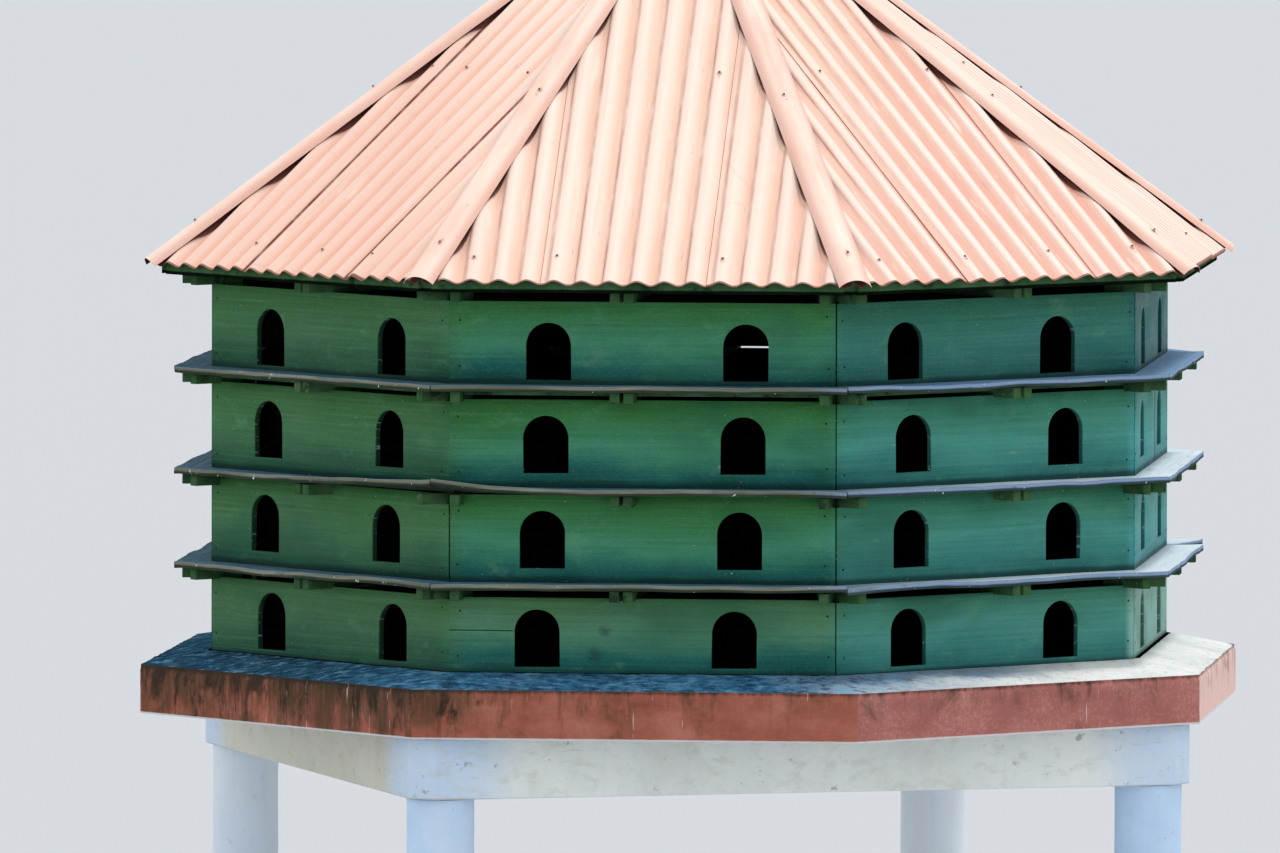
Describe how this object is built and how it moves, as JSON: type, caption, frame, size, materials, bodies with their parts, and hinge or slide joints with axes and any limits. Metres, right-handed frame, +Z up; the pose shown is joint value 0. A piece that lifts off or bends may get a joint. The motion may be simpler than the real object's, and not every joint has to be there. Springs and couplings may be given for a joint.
{
  "type": "dovecote",
  "caption": "Octagonal timber pigeon loft in tiers with arched holes, landing ledges and a corrugated hipped roof, on a concrete platform with round columns.",
  "frame": {"origin": "on the ground, on the loft's upright axis, level with the undersides of the columns", "axes": "+Z up, -Y towards the front face, +X towards the right face"},
  "size_m": [2.9632, 2.9632, 4.659],
  "materials": {
    "column": "limewashed concrete",
    "beam": "limewashed concrete",
    "platform": "red-brown painted concrete edge, bare grey top",
    "wall_board": "weathered sea-green paint",
    "frame_timber": "green painted softwood",
    "ledge_board": "grey weathered board",
    "roof_sheet": "sun-bleached salmon paint",
    "hip_cap": "sun-bleached salmon paint"
  },
  "bodies": {
    "root": {"apex_cap": "hip_cap", "beam_back": "beam", "beam_front": "beam", "beam_left": "beam", "beam_right": "beam", "column_back": "column", "column_front": "column", "column_left": "column", "column_right": "column", "corner_posts": "frame_timber", "eave_rail": "frame_timber", "hip_caps": "hip_cap", "hip_rafters": "frame_timber", "joists_1": "frame_timber", "joists_2": "frame_timber", "joists_3": "frame_timber", "joists_eave": "frame_timber", "ledge_1": "ledge_board", "ledge_2": "ledge_board", "ledge_3": "ledge_board", "ledge_battens": "frame_timber", "nest_backs": "ledge_board", "platform_slab": "platform", "purlins": "frame_timber", "roof_back": "roof_sheet", "roof_back_left": "roof_sheet", "roof_back_right": "roof_sheet", "roof_front": "roof_sheet", "roof_front_left": "roof_sheet", "roof_front_right": "roof_sheet", "roof_hub": "frame_timber", "roof_left": "roof_sheet", "roof_right": "roof_sheet", "shelf_1": "ledge_board", "shelf_2": "ledge_board", "shelf_3": "ledge_board", "wall_back": "wall_board", "wall_back_left": "wall_board", "wall_back_right": "wall_board", "wall_front": "wall_board", "wall_front_left": "wall_board", "wall_front_right": "wall_board", "wall_left": "wall_board", "wall_right": "wall_board"}
  },
  "joints": []
}
